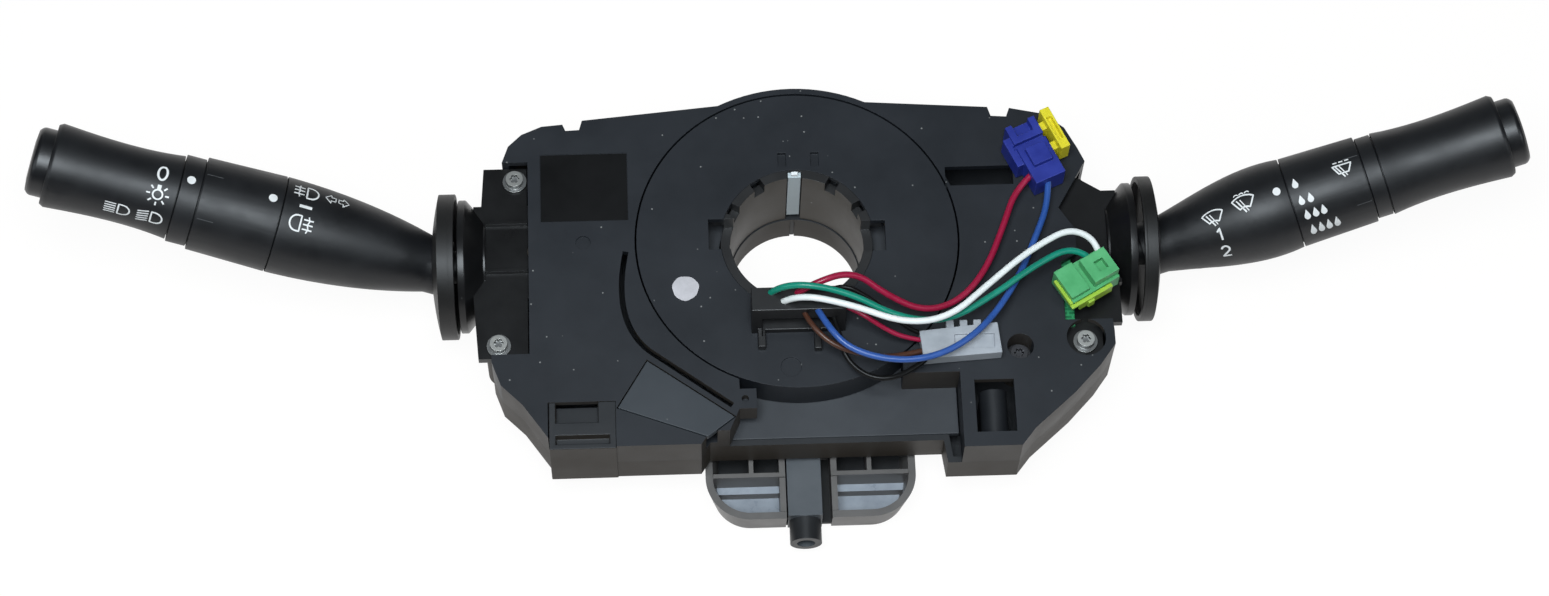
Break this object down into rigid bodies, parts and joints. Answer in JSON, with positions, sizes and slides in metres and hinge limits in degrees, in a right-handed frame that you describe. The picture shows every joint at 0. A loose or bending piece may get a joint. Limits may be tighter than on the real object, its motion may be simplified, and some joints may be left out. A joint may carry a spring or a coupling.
{
  "type": "steering column combination switch",
  "caption": "Steering column combination switch: flat housing with a turning contact rotor and wiring, a lighting stalk and a wiper stalk with twist rings and end buttons.",
  "frame": {"origin": "centre of the column collar at its back end", "axes": "+Z along the column axis towards the driver, +Y to twelve o'clock, +X towards the wiper stalk"},
  "size_m": [0.5, 0.1512, 0.0774],
  "materials": {
    "housing_black": "satin",
    "cover_black": "satin",
    "stalk_black": "satin",
    "button_black": "satin",
    "shield_black": "satin",
    "zinc_steel": "zinc plated",
    "dark_steel": "blackened",
    "board_green": "solder mask",
    "pin_brass": "bare",
    "ribbon_film": "film",
    "key_grey": "satin",
    "post_grey": "satin",
    "plug_blue": "moulded",
    "clip_yellow": "moulded",
    "plug_green": "moulded",
    "lock_lime": "moulded",
    "plug_grey": "satin",
    "insulation_green": "smooth",
    "insulation_white": "smooth",
    "insulation_red": "smooth",
    "insulation_blue": "smooth",
    "insulation_brown": "smooth",
    "insulation_black": "smooth"
  },
  "bodies": {
    "housing": {"rear_tray": "housing_black", "column_collar": "housing_black", "front_cover": "cover_black", "spring_base": "housing_black", "access_flap": "cover_black", "circuit_board": "board_green", "ribbon_cable": "ribbon_film", "light_socket": "housing_black", "socket_pins": "pin_brass", "guide_barrel": "housing_black", "cowl_bracket": "housing_black", "cowl_post": "post_grey", "clamp_band": "zinc_steel", "clamp_bolt": "zinc_steel", "clamp_nut": "zinc_steel", "module_screws": "zinc_steel", "cover_screw": "dark_steel", "left_case": "shield_black", "left_contact_board": "board_green", "right_case": "shield_black", "right_contact_board": "board_green"},
    "rotor": {"rotor_disc": "cover_black", "rotor_hub": "housing_black", "harness_socket": "housing_black", "blue_plug": "plug_blue", "yellow_clip": "clip_yellow", "green_plug": "plug_green", "green_plug_lock": "lock_lime", "grey_plug": "plug_grey", "wire_green": "insulation_green", "wire_white": "insulation_white", "wire_red": "insulation_red", "wire_blue": "insulation_blue", "wire_brown": "insulation_brown", "wire_red_thin": "insulation_red", "wire_black_short": "insulation_black", "wire_black_loop": "insulation_black"},
    "lock_key": {"lock_key": "key_grey"},
    "left_carrier": {"left_carrier": "housing_black"},
    "left_lever": {"left_lever": "stalk_black", "left_lever_pin": "zinc_steel", "left_shield": "shield_black", "left_index_collar": "stalk_black"},
    "left_ring": {"left_ring": "stalk_black"},
    "left_head": {"left_head": "stalk_black"},
    "left_button": {"left_button": "button_black"},
    "right_carrier": {"right_carrier": "housing_black"},
    "right_lever": {"right_lever": "stalk_black", "right_lever_pin": "zinc_steel", "right_shield": "shield_black", "right_index_collar": "stalk_black"},
    "right_ring": {"right_ring": "stalk_black"},
    "right_head": {"right_head": "stalk_black"},
    "right_button": {"right_button": "button_black"}
  },
  "joints": [
    {"name": "rotor_turn", "type": "hinge", "parent": "housing", "child": "rotor", "pos_m": [0, 0, 0.031], "axis": [0, 0, 1], "range_deg": [-900, 900]},
    {"name": "key_press", "type": "slide", "parent": "rotor", "child": "lock_key", "axis": [0, 0, -1], "range_m": [0, 0.002], "stiffness_N_per_m": 300},
    {"name": "left_swing", "type": "hinge", "parent": "housing", "child": "left_carrier", "pos_m": [-0.086, 0, 0.0295], "axis": [0, 0, 1], "range_deg": [-9, 9]},
    {"name": "left_pull", "type": "hinge", "parent": "left_carrier", "child": "left_lever", "pos_m": [-0.086, 0, 0.0295], "axis": [0, 1, 0], "range_deg": [0, 6], "stiffness_Nm_per_rad": 1.5},
    {"name": "left_ring_turn", "type": "hinge", "parent": "left_lever", "child": "left_ring", "pos_m": [-0.1195, 0, 0.0295], "axis": [-0.9469, 0.1909, 0.2588], "range_deg": [-25, 25]},
    {"name": "left_head_turn", "type": "hinge", "parent": "left_lever", "child": "left_head", "pos_m": [-0.1195, 0, 0.0295], "axis": [-0.9469, 0.1909, 0.2588], "range_deg": [0, 60]},
    {"name": "left_button_press", "type": "slide", "parent": "left_lever", "child": "left_button", "axis": [0.9469, -0.1909, -0.2588], "range_m": [0, 0.0025], "stiffness_N_per_m": 800},
    {"name": "right_swing", "type": "hinge", "parent": "housing", "child": "right_carrier", "pos_m": [0.086, 0, 0.0295], "axis": [0, 0, 1], "range_deg": [-14, 7]},
    {"name": "right_pull", "type": "hinge", "parent": "right_carrier", "child": "right_lever", "pos_m": [0.086, 0, 0.0295], "axis": [0, -1, 0], "range_deg": [0, 6], "stiffness_Nm_per_rad": 1.5},
    {"name": "right_ring_turn", "type": "hinge", "parent": "right_lever", "child": "right_ring", "pos_m": [0.1195, 0, 0.0295], "axis": [0.9469, 0.1909, 0.2588], "range_deg": [-20, 40]},
    {"name": "right_head_turn", "type": "hinge", "parent": "right_lever", "child": "right_head", "pos_m": [0.1195, 0, 0.0295], "axis": [0.9469, 0.1909, 0.2588], "range_deg": [0, 50]},
    {"name": "right_button_press", "type": "slide", "parent": "right_lever", "child": "right_button", "axis": [-0.9469, -0.1909, -0.2588], "range_m": [0, 0.0025], "stiffness_N_per_m": 800}
  ]
}
